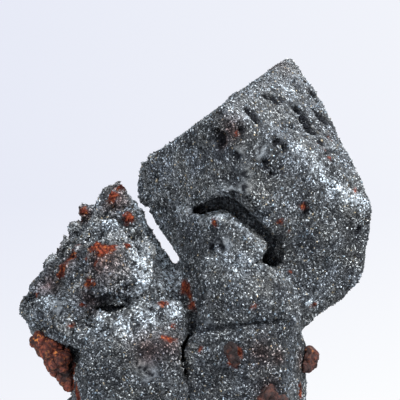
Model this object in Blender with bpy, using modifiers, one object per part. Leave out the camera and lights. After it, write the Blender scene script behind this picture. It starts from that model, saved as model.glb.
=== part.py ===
"""Hematite pseudomorph after magnetite: octahedral crystals grown together, with a little red-brown crust.

Metres, +Z up. The origin is the middle of the flat base. The photographed side faces -Y, so the view
looks along +Y with +X to the right. Two stacks stand side by side. The right one is a large hollow-faced
octahedron on a neck and a blocky crystal. The left one is a lumpy octahedron on a second block. Both rise
from a foot of smaller octahedra, where the group was parted from its rock on a flat cut.
"""

import math

import bmesh
import bpy
from mathutils import Euler, Vector, noise

MM = 0.001

# How the solids are made, in millimetres.
VOXEL = 0.45  # cell of the remesh that grows the crystals together
WEAR_PASSES = 3  # smoothing passes that round the worn edges
SKIN = 0.03  # what the rounding takes off, put back
SEAT_GAP = 0.34  # clearance between a crust and the crystals that carry it
CUT_REACH = 40.0  # how far a cutter reaches past what it cuts
CLUSTER_TRIANGLES = 7300
CRUST_TRIANGLES = 380
CRUST_VOXEL = 0.3
SEAT_VOXEL = 0.25
WAVES = ((0.14, 3.2), (0.1, 1.5))  # height and length of the waves on the faces
LUMPY_RIGHT = -3.0  # the lumpy part of the left crystal lies left of this X
LUMPY_FOOT = 17.0  # and above this Z
LUMPY_FADE = 4.0
LUMPY_TOP = 0.5
LUMPY_DROP = 0.9
LUMPY_LENGTH = 2.3
CRUST_TOP = 0.22
CRUST_DROP = 0.5
CRUST_LENGTH = 0.8

HEMATITE = ("hematite", (0.14, 0.15, 0.17, 1.0), 0.42, 0.85)
RUST = ("rust", (0.19, 0.055, 0.035, 1.0), 0.85, 0.0)

# Corner points of the large hollow-faced crystal: blunt tips, a front ridge and the full lower right side.
HOPPER = [
    (12.3, 9.4, 54.3),
    (15.9, 4.2, 48.2),
    (3.1, -13.5, 46.5),
    (4.3, -14.0, 46.0),
    (6.1, -13.2, 36.0),
    (3.2, -8.2, 20.3),
    (11.6, 14.0, 26.0),
    (-7.0, 3.8, 39.9),
    (-7.6, 4.5, 37.5),
    (-7.2, 3.8, 35.8),
    (20.9, -3.8, 37.0),
    (21.9, -4.1, 34.5),
    (21.6, -3.8, 33.5),
    (20.9, -3.0, 30.7),
    (20.8, -3.0, 27.1),
    (19.7, -2.8, 24.7),
    (18.6, -2.5, 23.6),
    (15.8, -2.8, 21.7),
    (12.8, -4.2, 19.2),
    (17.4, 9.4, 31.0),
    (13.4, 7.5, 21.3),
]
# The hollow in its front, as an XZ outline cut in from the front to HOLLOW_FLOOR.
HOLLOW_RIM = [
    (-1.0, 34.2),
    (-0.3, 34.5),
    (0.7, 35.0),
    (1.9, 35.8),
    (3.1, 36.1),
    (4.4, 36.0),
    (5.6, 35.2),
    (7.0, 33.6),
    (8.6, 32.0),
    (10.1, 30.6),
    (10.1, 28.8),
    (9.5, 27.1),
    (7.9, 24.7),
    (3.5, 27.1),
    (-0.7, 30.7),
]
HOLLOW_FLOOR = -2.5
# The block that stands in the hollow. It leaves a deep crevice above it and on its right.
HOLLOW_BLOCK = [
    (-2.0, -3.0, 33.2),
    (-0.3, -6.0, 33.5),
    (1.3, -7.2, 33.6),
    (3.4, -8.2, 34.5),
    (6.2, -8.9, 32.6),
    (8.9, -9.5, 30.5),
    (1.0, -9.0, 32.6),
    (2.9, -10.8, 33.4),
    (8.0, -11.8, 29.7),
    (7.7, -10.8, 27.8),
    (5.3, -11.6, 27.4),
    (1.1, -9.2, 27.5),
    (-2.2, -4.0, 28.6),
    (0.5, 2.0, 30.5),
    (5.5, 1.6, 27.8),
]
# The neck under the hollow, whose sloping top is a ledge.
NECK = [
    (-1.7, -3.8, 27.9),
    (1.1, -9.0, 28.0),
    (5.3, -11.0, 28.1),
    (7.9, -10.8, 28.1),
    (10.2, -8.8, 26.8),
    (12.4, -6.2, 24.5),
    (0.9, -10.5, 25.6),
    (4.7, -12.5, 25.9),
    (7.9, -12.8, 24.5),
    (12.2, -10.5, 22.1),
    (0.9, -10.4, 19.3),
    (5.9, -12.0, 19.6),
    (11.6, -9.8, 19.4),
    (12.6, -6.0, 19.0),
    (-0.7, -6.2, 25.4),
    (-0.7, -6.2, 19.4),
    (-2.2, -1.2, 27.5),
    (-2.4, -1.2, 18.0),
    (-2.0, 3.6, 26.6),
    (-2.0, 4.0, 15.0),
    (11.9, 7.0, 25.2),
    (11.4, 7.4, 15.0),
]
LOWER_RIGHT = [
    (-1.2, -10.5, 19.0),
    (0.9, -11.2, 19.7),
    (5.9, -12.0, 19.6),
    (10.2, -10.6, 20.2),
    (12.7, -6.0, 19.6),
    (13.6, -3.0, 17.6),
    (13.7, -2.5, 10.8),
    (10.4, -11.5, 11.7),
    (-0.9, -11.0, 11.6),
    (-1.4, -7.5, 11.2),
    (-1.2, -8.8, -0.7),
    (9.9, -10.2, -0.5),
    (13.1, -2.5, -1.6),
    (12.8, 2.6, 17.0),
    (12.4, 5.4, 9.0),
    (12.6, 3.0, -3.3),
    (-0.8, 3.5, 17.8),
    (-0.8, 5.0, -3.3),
]
LEFT_CRYSTAL = [
    (-9.8, 0.8, 38.4),
    (-14.0, -0.5, 33.2),
    (-17.0, -0.5, 29.7),
    (-22.3, 0.0, 22.4),
    (-22.2, 0.0, 21.5),
    (-1.8, -2.5, 26.6),
    (-1.6, -2.5, 25.0),
    (0.0, -3.2, 22.4),
    (0.0, -3.2, 20.7),
    (-10.1, -10.0, 23.3),
    (-11.5, 11.9, 20.8),
    (-12.0, 0.0, 5.5),
]
# The lumpy growth over the left crystal's front, which overhangs a slit.
LEFT_BROW = [
    (-9.6, 0.0, 37.9),
    (-16.9, -5.2, 27.9),
    (-17.3, -6.5, 25.8),
    (-5.1, -5.8, 28.4),
    (-5.3, -9.0, 25.1),
    (-10.7, -12.5, 27.4),
    (-9.0, -12.8, 27.0),
    (-12.4, -10.8, 23.1),
    (-8.1, -11.0, 23.2),
    (-10.6, 2.5, 30.4),
]
LEFT_LEDGE = [
    (-19.8, -2.0, 19.0),
    (-20.6, -4.5, 23.2),
    (-17.4, -7.5, 23.9),
    (-15.6, -9.2, 19.9),
    (-11.5, -10.5, 22.1),
    (-6.7, -11.0, 22.6),
    (-1.8, -8.2, 23.4),
    (-0.1, -5.8, 21.8),
    (-0.2, -5.5, 20.6),
    (-1.7, -10.5, 18.3),
    (-9.0, -13.2, 18.2),
    (-12.8, -12.0, 17.7),
    (-15.7, -8.2, 17.9),
    (-11.0, 5.0, 18.9),
]
LOWER_LEFT = [
    (-13.1, -12.0, 17.7),
    (-7.8, -13.4, 18.3),
    (-2.0, -12.2, 18.4),
    (-1.4, -10.8, 17.6),
    (-0.9, -11.0, 11.6),
    (-1.2, -12.0, 11.7),
    (-13.3, -11.8, 11.7),
    (-1.2, -8.8, -0.7),
    (-13.2, -10.2, -0.5),
    (-15.5, -3.8, 13.8),
    (-14.5, -3.0, 10.8),
    (-13.8, -2.5, -1.6),
    (-2.1, 4.5, 16.2),
    (-1.4, 5.5, -3.1),
    (-13.6, 3.0, 15.5),
    (-13.0, 4.0, -3.1),
]
# Smaller octahedra behind and round the foot: centre, reach of a tip, and turn about X and Z in degrees.
SMALL_CRYSTALS = [
    ((3.4, 3.2, 10.5), 10.6, -6, 26),
    ((-8.6, 2.8, 9.4), 9.2, 5, -22),
    ((5.0, -5.2, 2.0), 8.4, -6, 18),
    ((-6.0, -5.4, 1.6), 7.6, 5, -14),
    ((-12.6, -2.0, 3.0), 8.2, 4, 8),
    ((11.6, 3.6, 3.4), 8.8, -5, -10),
    ((-7.0, 6.4, 3.0), 7.0, -10, 40),
]
# Round lumps on the left crystal: centre and radius.
LUMPS = [
    ((-13.5, -0.9, 34.1), 0.7),
    ((-15.0, -1.4, 32.2), 0.6),
    ((-16.0, -1.6, 30.2), 0.6),
    ((-18.2, -1.4, 27.4), 0.8),
    ((-20.2, -1.3, 24.8), 0.8),
    ((-11.2, -9.8, 28.8), 1.1),
    ((-12.9, -8.6, 29.4), 0.9),
    ((-16.2, -5.6, 27.2), 1.0),
    ((-8.6, -4.2, 33.4), 0.9),
    ((-5.8, -6.2, 29.4), 0.9),
    ((-14.4, -8.8, 25.4), 1.1),
]
# Shallow dents, worn or grown into the faces: centre, radius and depth.
DENTS = [
    ((3.1, -11.0, 42.9), 1.9, 0.8),
    ((5.4, -12.2, 43.6), 1.0, 0.4),
    ((11.4, -7.6, 28.0), 2.6, 1.1),
    ((13.6, -4.0, 45.0), 2.2, 0.4),
    ((4.0, 8.0, 42.0), 3.4, 0.8),
    ((16.5, 7.5, 36.0), 2.8, 0.7),
    ((7.5, 10.5, 29.5), 2.4, 0.6),
    ((-14.5, 5.0, 27.0), 2.2, 0.6),
    ((-6.8, 5.4, 25.5), 1.8, 0.5),
]

# XZ outlines of the two slits cut in from the front, and the Y where each one ends.
STACK_SEAM = [
    (-0.4, 22.5),
    (0.1, 22.3),
    (0.15, 19.9),
    (-0.9, 18.5),
    (-1.35, 17.2),
    (-0.85, 14.5),
    (-0.45, 12.0),
    (-0.1, 10.0),
    (0.2, 4.0),
    (-0.4, 4.0),
    (-0.7, 10.0),
    (-1.0, 12.2),
    (-1.45, 14.4),
    (-2.0, 17.2),
    (-2.05, 18.0),
    (-0.5, 19.9),
    (-0.45, 21.5),
]
STACK_SEAM_FLOOR = -4.5
BROW_SLIT = [
    (-13.0, 22.5),
    (-10.6, 23.0),
    (-8.2, 22.9),
    (-7.9, 22.5),
    (-10.6, 22.0),
    (-12.7, 22.1),
]
BROW_SLIT_FLOOR = -8.4

# Lobes of each crust: centre and radius.
CRUSTS = {
    "rust_nodules_left": [
        ((-19.2, -3.4, 18.0), 1.05),
        ((-17.9, -3.9, 17.0), 1.15),
        ((-16.6, -4.6, 15.5), 1.5),
        ((-15.6, -4.8, 14.2), 1.2),
        ((-14.8, -5.0, 13.0), 1.0),
        ((-14.6, -5.0, 11.7), 0.95),
    ],
    "rust_knob_right": [
        ((13.7, -3.6, 16.0), 1.2),
        ((14.2, -3.4, 15.5), 0.9),
        ((13.0, -4.6, 15.0), 0.9),
    ],
    "rust_patch_front": [
        ((4.2, -12.0, 17.9), 1.1),
        ((4.6, -12.0, 16.6), 1.0),
    ],
    "rust_patch_low": [
        ((8.6, -11.7, 12.3), 1.2),
        ((9.6, -11.5, 11.2), 1.2),
    ],
}


def octahedron(centre, reach, lean, turn):
    """The six tips of a regular crystal that leans about X and turns about Z."""
    attitude = Euler((math.radians(lean), 0.0, math.radians(turn)))
    tips = []
    for axis in (Vector((1, 0, 0)), Vector((0, 1, 0)), Vector((0, 0, 1))):
        axis.rotate(attitude)
        tips += [Vector(centre) + axis * reach, Vector(centre) - axis * reach]
    return tips


def add_hull(shells, corners):
    """The convex crystal round these corner points, added to a mesh of overlapping shells."""
    corner_points = [shells.verts.new(Vector(corner) * MM) for corner in corners]
    made = bmesh.ops.convex_hull(shells, input=corner_points)
    inner = {item for item in made["geom_interior"] if isinstance(item, bmesh.types.BMVert)}
    bmesh.ops.delete(shells, geom=list(inner), context="VERTS")


def add_lobe(shells, centre, radius):
    """A rounded grain."""
    lobe = bmesh.ops.create_icosphere(shells, subdivisions=3, radius=radius * MM)["verts"]
    bmesh.ops.translate(shells, vec=Vector(centre) * MM, verts=lobe)


def add_prism(shells, outline, floor_y):
    """An XZ outline pulled along Y, from far in front of the crystals back to floor_y."""
    rim = [shells.verts.new((x * MM, floor_y * MM, z * MM)) for x, z in outline]
    pulled = bmesh.ops.extrude_face_region(shells, geom=[shells.faces.new(rim)])["geom"]
    front = [item for item in pulled if isinstance(item, bmesh.types.BMVert)]
    bmesh.ops.translate(shells, vec=(0.0, -CUT_REACH * MM, 0.0), verts=front)


def new_object(name, shells, collection):
    """An object in this collection from a finished bmesh, with its faces pointing outwards."""
    mesh = bpy.data.meshes.new(name)
    bmesh.ops.recalc_face_normals(shells, faces=shells.faces)
    shells.to_mesh(mesh)
    shells.free()
    made = bpy.data.objects.new(name, mesh)
    collection.objects.link(made)
    return made


def new_cutter(name, shells, collection):
    cutter = new_object(name, shells, collection)
    cutter.hide_render = True
    cutter.display_type = "WIRE"
    return cutter


def bake_modifiers(obj):
    """Makes the object's evaluated mesh its own mesh."""
    bpy.context.view_layer.update()
    evaluated = obj.evaluated_get(bpy.context.evaluated_depsgraph_get())
    baked = bpy.data.meshes.new_from_object(evaluated)
    obj.modifiers.clear()
    obj.data = baked


def add_remesh(obj, voxel):
    """One closed skin round all the overlapping shells."""
    remesh = obj.modifiers.new("grow_together", "REMESH")
    remesh.mode = "VOXEL"
    remesh.voxel_size = voxel * MM


def add_wear(obj, passes):
    """Rounds every edge a little."""
    wear = obj.modifiers.new("wear", "SMOOTH")
    wear.factor = 0.5
    wear.iterations = passes


def add_reduction(obj, triangles):
    """Keeps about this many triangles."""
    obj.data.calc_loop_triangles()
    thin = obj.modifiers.new("reduce", "DECIMATE")
    thin.ratio = min(1.0, triangles / len(obj.data.loop_triangles))
    thin.use_collapse_triangulate = True


def add_cut(obj, cutter, name):
    boolean = obj.modifiers.new(name, "BOOLEAN")
    boolean.operation = "DIFFERENCE"
    boolean.solver = "EXACT"
    boolean.object = cutter


def shell_round(vertex):
    """All the vertices of the shell that this vertex is in."""
    shell = {vertex}
    edge_of_shell = [vertex]
    while edge_of_shell:
        here = edge_of_shell.pop()
        for link in here.link_edges:
            there = link.other_vert(here)
            if there not in shell:
                shell.add(there)
                edge_of_shell.append(there)
    return shell


def keep_largest_shell(obj):
    """Drops the crumbs that a cut leaves loose."""
    shape = bmesh.new()
    shape.from_mesh(obj.data)
    unseen = set(shape.verts)
    shells = []
    while unseen:
        shell = shell_round(next(iter(unseen)))
        unseen -= shell
        shells.append(shell)
    largest = max(shells, key=len)
    crumbs = [vertex for vertex in shape.verts if vertex not in largest]
    bmesh.ops.delete(shape, geom=crumbs, context="VERTS")
    shape.to_mesh(obj.data)
    shape.free()


def move_along_normals(obj, height_of):
    """Moves each vertex along its normal by height_of(place in mm), in mm."""
    vertices = obj.data.vertices
    normals = [vertex.normal.copy() for vertex in vertices]
    for vertex, normal in zip(vertices, normals):
        vertex.co += normal * height_of(vertex.co / MM) * MM


def material(name, colour, roughness, metallic):
    made = bpy.data.materials.new(name)
    made.use_nodes = True
    shader = made.node_tree.nodes["Principled BSDF"]
    shader.inputs["Base Color"].default_value = colour
    shader.inputs["Roughness"].default_value = roughness
    shader.inputs["Metallic"].default_value = metallic
    return made


def crystal_relief(place):
    """Broad waves and dents on the faces, and round lumps on the upper part of the left crystal."""
    waves = 0.0
    for height, length in WAVES:
        waves += height * noise.noise(place / length)
    left_of = (LUMPY_RIGHT - place.x) / LUMPY_FADE
    above = (place.z - LUMPY_FOOT) / LUMPY_FADE
    on_left = min(1.0, max(0.0, left_of)) * min(1.0, max(0.0, above))
    lumps = LUMPY_TOP - LUMPY_DROP * noise.voronoi(place / LUMPY_LENGTH)[0][0]
    dents = 0.0
    for centre, radius, depth in DENTS:
        dents += depth * math.exp(-((place - Vector(centre)).length / radius) ** 2)
    return SKIN + waves + on_left * lumps - dents


def crust_relief(place):
    """Small round grains."""
    return CRUST_TOP - CRUST_DROP * noise.voronoi(place / CRUST_LENGTH)[0][0]


def hollow_crystal(parts, cutters):
    """The large crystal with the hollow cut out of its front, as a mesh."""
    crystal = bmesh.new()
    add_hull(crystal, HOPPER)
    crystal = new_object("hollow_crystal", crystal, parts)
    cutter = bmesh.new()
    add_prism(cutter, HOLLOW_RIM, HOLLOW_FLOOR)
    add_cut(crystal, new_cutter("hollow_cutter", cutter, cutters), "hollow")
    bake_modifiers(crystal)
    mesh = crystal.data
    bpy.data.objects.remove(crystal)
    return mesh


def hematite_cluster(parts, cutters):
    """All the crystals as one solid, with its slits and its flat base cut into it."""
    shells = bmesh.new()
    shells.from_mesh(hollow_crystal(parts, cutters))
    blocks = (HOLLOW_BLOCK, NECK, LOWER_RIGHT, LEFT_CRYSTAL, LEFT_BROW, LEFT_LEDGE, LOWER_LEFT)
    for corners in blocks:
        add_hull(shells, corners)
    for centre, reach, lean, turn in SMALL_CRYSTALS:
        add_hull(shells, octahedron(centre, reach, lean, turn))
    for centre, radius in LUMPS:
        add_lobe(shells, centre, radius)
    cluster = new_object("hematite_cluster", shells, parts)
    add_remesh(cluster, VOXEL)
    add_wear(cluster, WEAR_PASSES)
    bake_modifiers(cluster)
    move_along_normals(cluster, crystal_relief)
    add_reduction(cluster, CLUSTER_TRIANGLES)
    for name, outline, floor_y in (
        ("stack_seam", STACK_SEAM, STACK_SEAM_FLOOR),
        ("brow_slit", BROW_SLIT, BROW_SLIT_FLOOR),
    ):
        cutter = bmesh.new()
        add_prism(cutter, outline, floor_y)
        add_cut(cluster, new_cutter(name + "_cutter", cutter, cutters), name)
    below = bmesh.new()
    bmesh.ops.create_cube(below, size=2 * CUT_REACH * MM)
    bmesh.ops.translate(below, vec=(0.0, 0.0, -CUT_REACH * MM), verts=below.verts)
    add_cut(cluster, new_cutter("base_cutter", below, cutters), "base")
    cluster.data.materials.append(material(*HEMATITE))
    return cluster


def crust_seat(cluster, cutters):
    """The cluster swollen by the seat gap, joined with itself, to cut the underside of each crust."""
    bpy.context.view_layer.update()
    evaluated = cluster.evaluated_get(bpy.context.evaluated_depsgraph_get())
    cluster_mesh = bpy.data.meshes.new_from_object(evaluated)
    shells = bmesh.new()
    shells.from_mesh(cluster_mesh)
    for vertex in shells.verts:
        vertex.co += vertex.normal * SEAT_GAP * MM
    shells.from_mesh(cluster_mesh)
    seat = new_cutter("crust_seat", shells, cutters)
    add_remesh(seat, SEAT_VOXEL)
    bake_modifiers(seat)
    return seat


def rust_crust(name, lobes, seat, parts, finish):
    """A crust of rounded grains, seated on the crystals."""
    shells = bmesh.new()
    for centre, radius in lobes:
        add_lobe(shells, centre, radius)
    crust = new_object(name, shells, parts)
    add_remesh(crust, CRUST_VOXEL)
    bake_modifiers(crust)
    move_along_normals(crust, crust_relief)
    add_reduction(crust, CRUST_TRIANGLES)
    add_cut(crust, seat, "seat")
    bake_modifiers(crust)
    keep_largest_shell(crust)
    crust.data.materials.append(finish)


def main():
    for obj in list(bpy.data.objects):
        bpy.data.objects.remove(obj)
    parts = bpy.data.collections.new("hematite_pseudomorph")
    cutters = bpy.data.collections.new("cutters")
    for collection in (parts, cutters):
        bpy.context.scene.collection.children.link(collection)
    cluster = hematite_cluster(parts, cutters)
    seat = crust_seat(cluster, cutters)
    finish = material(*RUST)
    for name, lobes in CRUSTS.items():
        rust_crust(name, lobes, seat, parts, finish)


main()
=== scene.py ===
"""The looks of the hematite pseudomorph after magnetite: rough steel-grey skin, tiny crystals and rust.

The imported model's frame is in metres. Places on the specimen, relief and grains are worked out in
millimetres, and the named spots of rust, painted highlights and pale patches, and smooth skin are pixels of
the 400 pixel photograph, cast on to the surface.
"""

import math
from typing import NamedTuple

import bmesh
import bpy
import numpy as np
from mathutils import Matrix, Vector
from mathutils.bvhtree import BVHTree


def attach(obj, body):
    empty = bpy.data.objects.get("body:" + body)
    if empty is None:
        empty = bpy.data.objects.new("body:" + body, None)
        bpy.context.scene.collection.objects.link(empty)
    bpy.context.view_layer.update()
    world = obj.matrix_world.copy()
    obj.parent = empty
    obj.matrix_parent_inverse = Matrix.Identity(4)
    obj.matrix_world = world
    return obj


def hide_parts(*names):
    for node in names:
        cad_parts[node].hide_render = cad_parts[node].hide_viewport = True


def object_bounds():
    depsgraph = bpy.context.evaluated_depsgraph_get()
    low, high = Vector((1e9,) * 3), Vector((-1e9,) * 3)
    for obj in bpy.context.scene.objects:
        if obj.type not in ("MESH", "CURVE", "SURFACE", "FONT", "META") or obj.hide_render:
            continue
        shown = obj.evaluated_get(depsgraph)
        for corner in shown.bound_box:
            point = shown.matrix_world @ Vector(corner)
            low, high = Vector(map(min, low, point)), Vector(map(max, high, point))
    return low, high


MM = 0.001
SEED = 7  # picks all the random draws

# The photograph's view: a level camera straight in front of the specimen, 250 mm away.
PHOTO_PIXELS = 400
CAMERA_PLACE = Vector((0.0005, -0.250, 0.0355))
SENSOR_WIDTH = 36.0
LENS = 180.0
NEAREST_SEEN = 0.01
FARTHEST_SEEN = 20.0
PHOTO_FOOT = 10.0  # the height in mm below which the photograph is cut off


class Pattern(NamedTuple):
    """A pattern of noise: its cells' size in mm, the number that picks it, and the height in mm it gives."""

    size: float
    number: int
    height: float = 1.0


class Ramp(NamedTuple):
    """A straight rise, start + slope * value, held between two limits."""

    start: float
    slope: float
    low: float = 0.0
    high: float = 1.0


class Hidden(NamedTuple):
    """Loose spots on the sides that the photograph hides: how many, and their least and most radius in mm."""

    count: int
    least: float
    most: float


class Path(NamedTuple):
    """A winding feature along pixels, with its radius in pixels, tone factor (painted light above 1, painted
    shade below 1), height in mm and painted highlight.
    """

    name: str
    points: list
    radius: float
    tone: float
    height: float = 0.0
    frost: float = 0.0


class Steel(NamedTuple):
    """A finish of hematite: the colours of low and high tone, its gloss, and how strong its fine bump is."""

    dark: tuple
    light: tuple
    roughness: float
    metallic: float
    specular: float
    bump: float


class Light(NamedTuple):
    """A round area light: its place and width in metres, its power in watts and its colour."""

    place: tuple
    width: float
    power: float
    colour: tuple


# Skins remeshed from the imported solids. Lengths are in mm.
SKIN_CELL = 0.31
SKIN_WEAR = 2  # smoothing passes over the edges
CRUST_CELL = 0.11
CRUST_WEAR = 1
WEAR_SHARE = 0.5  # how far each pass moves a corner towards its neighbours' middle
MERGE_WITHIN = 0.002
RELIEF_FULL_ABOVE = 0.6  # the height over the cut base at which the relief is whole

# Whole numbers that stir a cell's indices into a number that looks random.
AXIS_FACTORS = (0x9E3779B1, 0x85EBCA77, 0xC2B2AE3D)
NUMBER_STEP = 7919
STIRS = ((15, 0x2C1B3C6D), (12, 0x297A2D39), (15, 0x85EBCA6B))  # a shift in bits, then a factor
WHOLE_RANGE = 2.0**32

# Relief of the crystals' skin.
DOME_REACH = 0.8  # radius of a round lump, in cells
DOME_LEVEL = 0.6  # the part of a lump's height that counts as no change
GRAIN_LEVEL = 0.45  # the distance from a grain's middle, in cells, that counts as no change
BROAD_WAVES = Pattern(2.4, 11, 0.08)
MIDDLE_WAVES = Pattern(0.8, 12, 0.09)
MIDDLE_GRAINS = Pattern(0.95, 21, 0.22)
SMALL_GRAINS = Pattern(0.52, 31, 0.14)
LARGE_LUMPS = Pattern(1.8, 41, 0.60)
SMALL_LUMPS = Pattern(1.0, 42, 0.30)
RIDGES = Pattern(0.75, 14, 0.10)
RIDGES_ON_LEFT = 0.12  # the further height of ridges on the left crystal
HOLES = Pattern(0.9, 13, 0.5)
HOLES_OVER = 0.45  # only the pattern's highest parts become holes
PIT_DEPTH = 1.1
WORM_SHARPNESS = 4.0
ROUGH_LEAST = 0.45  # roughness of the skin that is neither on the left crystal nor coarse
SMOOTHING = 0.85  # the part of the relief that smooth skin loses

# Masks on the skin.
RAGGED = Pattern(0.7, 50, 0.35)  # shifts the spots' edges, with the next numbers for the other axes
RUST_EDGE = Ramp(-0.75, 3.0)
SMOOTH_EDGE = Ramp(-0.3, 1.6)
LEFT_SIDE = -3.0  # the left crystal lies to the left of this place
LEFT_FOOT = 17.0  # and above this height
LEFT_BLEND = 3.0  # its mask grows to 1 over this distance

# Tones of the skin and the grains. Much of the tone is painted light and shade: lighter on high places,
# standing tips and winding lines that stand in for highlight streaks, darker in low places and pits.
SKIN_LINES = (Pattern(0.62, 15), Pattern(0.40, 17))
GRAIN_LINES = (Pattern(0.52, 15), Pattern(0.31, 17))
SECOND_LINES = 0.9  # how bright the finer lines are against the first
SMOOTH_FLECKS = Pattern(0.35, 16, 0.6)
SMOOTH_CRACKS = Pattern(0.9, 18, 0.7)
SMOOTH_TONE = 0.55
# Painted shade for the grains: lighter over high skin, darker over low skin.
PAINTED_SHADE_BY_HEIGHT = Ramp(0.8, 2.2, 0.12, 1.5)
# Painted shade in the pits.
PAINTED_SHADE_IN_PITS = Ramp(1.0, -1.1, 0.02, 1.0)
# Painted shade on the skin: lighter on high places, darker in low ones.
PAINTED_SKIN_SHADE_BY_HEIGHT = Ramp(0.25, 1.6)
# Painted highlight streaks on the skin along the winding lines, and painted shade between them.
TONE_BY_LINE = Ramp(0.35, 0.9, 0.0, math.inf)
# How strongly the painted highlights and pale patches show on the skin, along the winding lines.
SKIN_HIGHLIGHT = 0.4
STAIN_STRENGTH = 0.8
SKIN_EVEN = 0.7
GRAIN_EVEN = 0.4

# The crystal grains. Lengths are in mm.
GRAINS = 91000
GRAIN_BATCHES = ("crown", "shoulder", "waist", "foot")
BASE_MARGIN = 0.35  # height above the cut base that stays free of grains
GRAIN_REACH = 0.158
GRAIN_SPREAD = 0.30
GRAIN_LEAST = 0.07
GRAIN_MOST = 0.32
GRAIN_NARROW = (0.85, 0.5, 0.5)  # least and most reach along a grain's own axes
GRAIN_LONG = (1.55, 0.95, 0.95)
GRAIN_SUNK = (0.15, 0.5)  # least and most part of the reach that a grain's middle lies under the skin
GRAIN_TILT = 0.2
GRAINS_LOOSE = 0.2  # share of the grains that stand at random instead of lying along the skin
LARGER_ON_LEFT = 0.25
SMALLER_ON_SMOOTH = 0.4
FEWER_ON_SMOOTH = 0.92
FEWER_IN_PITS = 0.8
PAINTED_TIP_LIGHT = Ramp(0.35, 0.85)  # painted light: lighter the further a tip stands out, darker where it is sunk
OWN_LIGHT = Ramp(0.80, 0.5, 0.0, math.inf)  # by a random number
LINE_LIGHT = Ramp(0.16, 1.70, 0.0, math.inf)  # by the winding lines: painted highlight streaks on them, painted shade between
TONE_GROWTH = 1.5
TONE_POWER = 1.3
# The painted highlights and pale patches on the grains are stronger along the winding lines.
HIGHLIGHT_BY_LINE = Ramp(0.20, 2.0, 0.0, math.inf)
HIGHLIGHTED_SHARE = 0.85  # share of the grains that take the painted highlights and pale patches
RUST_FULL = 1.5
RUST_LOOSE = 0.5  # how much rust a grain may lack at random

# The rust crusts.
CRUST_SWELL = 0.20
CRUST_LOBES = Pattern(2.1, 91, 0.85)
CRUST_LUMPS = Pattern(0.9, 71, 0.50)
CRUST_BEADS = Pattern(0.36, 81, 0.14)
PATCH_WAVES = Pattern(1.3, 95, 1.2)
PATCH_DROP = 0.45
PATCH_RELIEF = 0.3  # relief of the flat patches against the nodules'
CRUST_DEEP = 0.35
DEEP_BY_HEIGHT = 1.6
DEEP_ON_PATCH = 0.5
KNOB_FROM = 10.0  # the darker right knob lies past this place
KNOB_DEEP = Ramp(0.55, 0.45)

# Finishes.
SKIN_STEEL = Steel(
    dark=(0.010, 0.011, 0.014, 1.0),
    light=(0.22, 0.24, 0.258, 1.0),
    roughness=0.55,
    metallic=0.15,
    specular=0.12,
    bump=0.8,
)
GRAIN_STEEL = Steel(
    dark=(0.006, 0.007, 0.009, 1.0),
    light=(0.49, 0.53, 0.57, 1.0),
    roughness=0.54,
    metallic=0.9,
    specular=0.2,
    bump=0.3,
)
STEEL_GLINT = (0.42, 0.45, 0.49, 1.0)
STEEL_GRIT = 0.16  # cell size of the fine grit, in mm
STEEL_SPECKLE = (0.4, 1.4)  # how flecks, and the fine lines, scale the colour at their least and most
# The fine lines scale the colour as painted highlight streaks on the grain, with painted shade between them.
STEEL_LINED = (0.40, 1.75)
CALM_SCALE = 0.85
FLECK_RANGE = (0.35, 0.65)
GLOSS_RANGE = (0.16, -0.12)  # how flecks change the roughness at their least and most
METAL_FULL_FROM = 0.25  # the tone from which the metal is whole
METAL_LEAST = 0.15  # the metal's share where the tone is lowest
GRAIN_TINTS = (  # by a grain's own number: plain, then a few yellowish, bluish and bright ones
    (0.0, (1.0, 1.0, 1.0, 1.0)),
    (0.82, (1.0, 0.80, 0.55, 1.0)),
    (0.87, (0.78, 0.90, 1.0, 1.0)),
    (0.94, (1.25, 1.25, 1.25, 1.0)),
)
CAST_SCALE = 260.0  # noise cells to a metre
CASTS = ((0.36, (0.97, 0.995, 1.04, 1.0)), (0.64, (1.04, 1.005, 0.95, 1.0)))  # broad cool and warm patches
# Bluish white of the painted highlights and reflections, and of the skin's few pale patches.
HIGHLIGHT_AND_PALE_COLOUR = (0.70, 0.79, 0.88, 1.0)
HIGHLIGHT_ALONG_LINES = (0.42, 2.1)  # how much of the painted highlight and pale patch shows between the fine lines and on them
STAIN_COLOUR = (0.50, 0.26, 0.22, 1.0)
RUST_SHADES = ((0.34, (0.022, 0.007, 0.006, 1.0)), (0.68, (0.155, 0.032, 0.018, 1.0)))
RUST_ORANGE = (0.50, 0.17, 0.040, 1.0)
RUST_MOTTLE = 900.0  # noise cells to a metre
RUST_FLECKS = 2600.0
RUST_GAP_RANGE = (0.38, 0.54)
RUST_GAP_SCALE = (0.35, 1.25)
ORANGE_RANGE = (0.56, 0.70)
ORANGE_ON_STEEL = 0.35
ORANGE_ON_CRUST = (0.3, 4.0)
CRUST_DARK = (0.012, 0.006, 0.006, 1.0)
CRUST_GRIT = 0.2
CRUST_BUMP = 0.6
CRUST_SPECULAR = 0.35
CRUST_ROUGHNESS = (0.95, 0.6)
LINE_CELLS = 0.42  # the winding lines' noise has this many cells for each of the flecks'
LINE_WIDTH = 0.10
BUMP_REACH = 0.00006

# A paper backdrop: pale blue-grey at the upper left, turning to near white towards the right and the bottom.
PAPER_SHADED = (0.80, 0.825, 0.925, 1.0)
PAPER_LIT = (0.975, 0.985, 1.0, 1.0)
LIT_ACROSS = 0.46
LIT_BELOW = 0.52
EDGE = 0.1  # how far the photograph's edges turn from its middle, as a slope
SURROUND = (0.90, 0.95, 1.0, 1.0)
SURROUND_HEIGHTS = (-0.3, 1.0)
SURROUND_STRENGTHS = (0.05, 0.75)
FLOOR_REACH = 3.0
FLOOR_DROP = 0.02  # in mm, so that the floor doesn't touch the base
FLOOR_COLOUR = (0.70, 0.72, 0.74, 1.0)
FLOOR_ROUGHNESS = 0.9
FLOOR_FADE = (0.035, 0.095)  # from the specimen's foot outwards, in metres

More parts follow.
